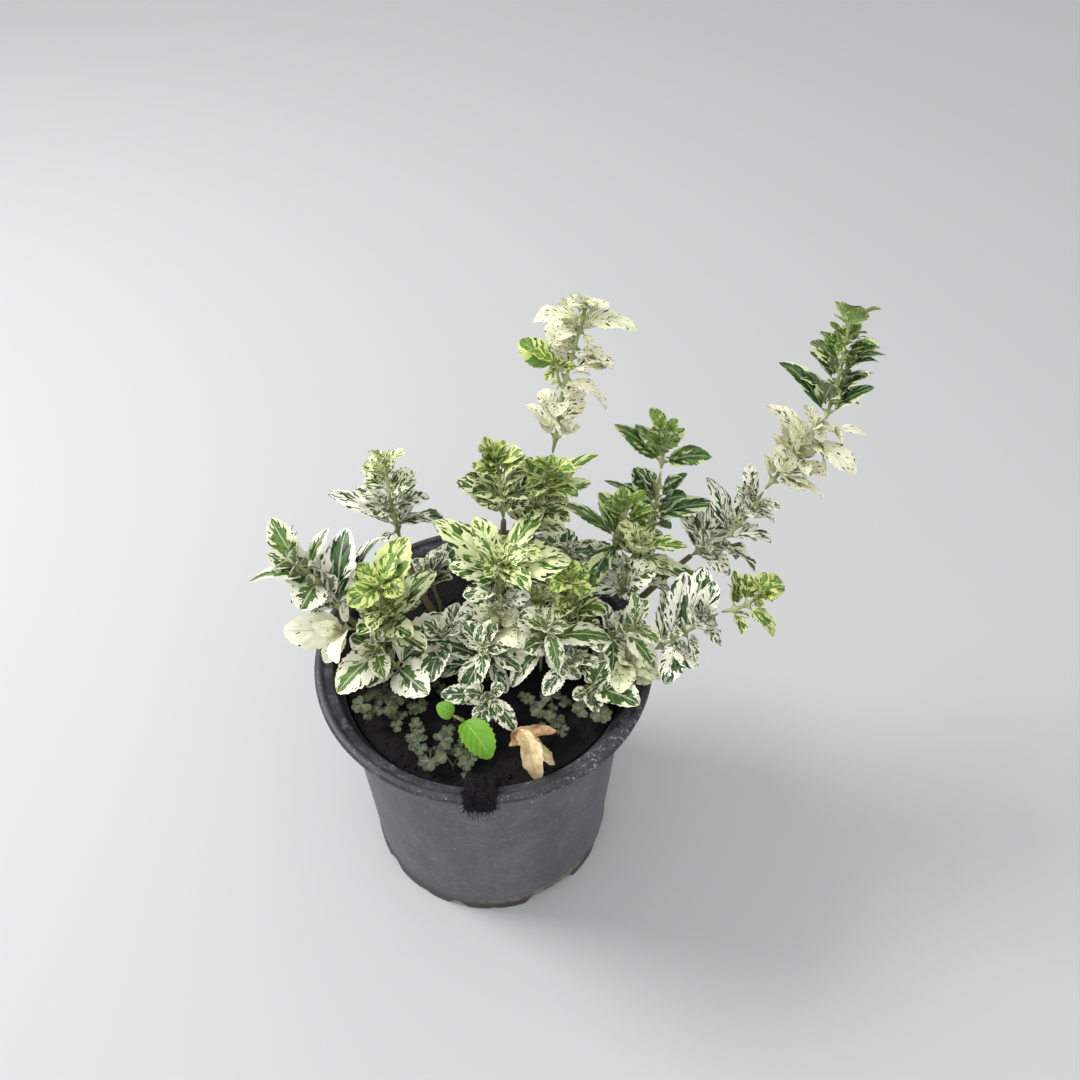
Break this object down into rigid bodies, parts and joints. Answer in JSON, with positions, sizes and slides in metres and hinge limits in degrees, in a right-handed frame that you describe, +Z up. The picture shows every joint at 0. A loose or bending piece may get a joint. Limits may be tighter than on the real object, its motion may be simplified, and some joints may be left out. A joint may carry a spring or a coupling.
{
  "type": "potted shrub",
  "caption": "Variegated evergreen shrub with cream-edged toothed leaves in a round tapered nursery pot with dark soil and low clover.",
  "frame": {"origin": "centre of the pot's flat underside, on the surface it stands on", "axes": "+Z up along the pot's axis; -Y is the front, where the soil lies over the rim; +X towards the longest shoot"},
  "size_m": [0.304, 0.1865, 0.3078],
  "materials": {
    "bark": "brown-green twig bark",
    "clover": "dull grey-green leaf",
    "dry_brown": "dry curled leaf",
    "dry_tan": "dry curled leaf",
    "leaf_cream": "cream leaf with dark flecks",
    "leaf_dark": "dark green leaf with white margin in shade",
    "leaf_flecked": "green and cream flecked leaf",
    "leaf_green": "green leaf with thin cream margin",
    "leaf_lime": "yellow-green mottled leaf",
    "leaf_margined": "green leaf with broad white margin",
    "leaf_sprout": "plain bright green young leaf",
    "leaf_white": "white leaf with dark flecks",
    "pot_plastic": "dusty black moulded plastic, scuffed",
    "soil": "damp dark peat"
  },
  "bodies": {
    "root": {"pot": "pot_plastic", "root_ball": "soil", "potting_soil": "soil", "soil_spill": "soil", "stem_a": "bark", "stem_b": "bark", "stem_c": "bark", "stem_d": "bark", "stem_e": "bark", "stem_w": "bark", "stem_f": "bark", "spray_a1": "leaf_cream", "spray_a2": "leaf_cream", "spray_a3": "leaf_lime", "spray_b1": "leaf_flecked", "spray_b2": "leaf_cream", "spray_b3": "leaf_green", "spray_c1": "leaf_flecked", "spray_c2": "leaf_lime", "spray_d1": "leaf_green", "spray_d2": "leaf_green", "spray_e1": "leaf_flecked", "spray_e2": "leaf_margined", "spray_e3": "leaf_white", "spray_e4": "leaf_lime", "spray_e5": "leaf_margined", "spray_f1": "leaf_lime", "spray_f2": "leaf_lime", "spray_f3": "leaf_flecked", "spray_f4": "leaf_lime", "spray_f5": "leaf_cream", "spray_g1": "leaf_flecked", "spray_g2": "leaf_green", "spray_h1": "leaf_dark", "spray_h2": "leaf_margined", "spray_j": "leaf_margined", "spray_k": "leaf_dark", "spray_l": "leaf_dark", "spray_m": "leaf_sprout", "spray_n": "leaf_dark", "spray_o": "leaf_dark", "spray_p": "leaf_flecked", "spray_q": "leaf_dark", "spray_r": "leaf_cream", "spray_s": "leaf_dark", "clover_front_left": "clover", "clover_far_left": "clover", "clover_left": "clover", "clover_front": "clover", "clover_middle": "clover", "clover_right": "clover", "clover_rim": "clover", "dry_leaf_brown": "dry_brown", "dry_leaf_tan": "dry_tan"}
  },
  "joints": []
}
